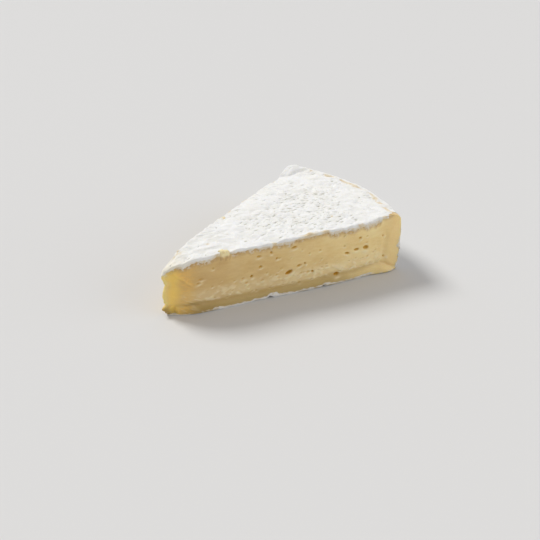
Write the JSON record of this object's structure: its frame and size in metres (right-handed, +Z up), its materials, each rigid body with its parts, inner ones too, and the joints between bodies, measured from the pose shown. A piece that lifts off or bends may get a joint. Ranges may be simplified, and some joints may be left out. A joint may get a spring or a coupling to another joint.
{
  "type": "soft cheese wedge",
  "caption": "Long wedge of soft white-rind cheese cut from a large flat wheel, with a blunt nose, a curved rim and pale paste with small eyes on both cuts.",
  "frame": {"origin": "middle of the bounding box at the resting surface", "axes": "+X from the nose along the wedge to the curved rim, +Y across towards the back cut, +Z up through the thickness"},
  "size_m": [0.1492, 0.0966, 0.0376],
  "materials": {
    "paste": "soft satin, pale creamy yellow, more amber and translucent at the nose",
    "rind": "matt velvety white bloom with worn beige patches"
  },
  "bodies": {
    "root": {"wedge": "paste"}
  },
  "joints": []
}
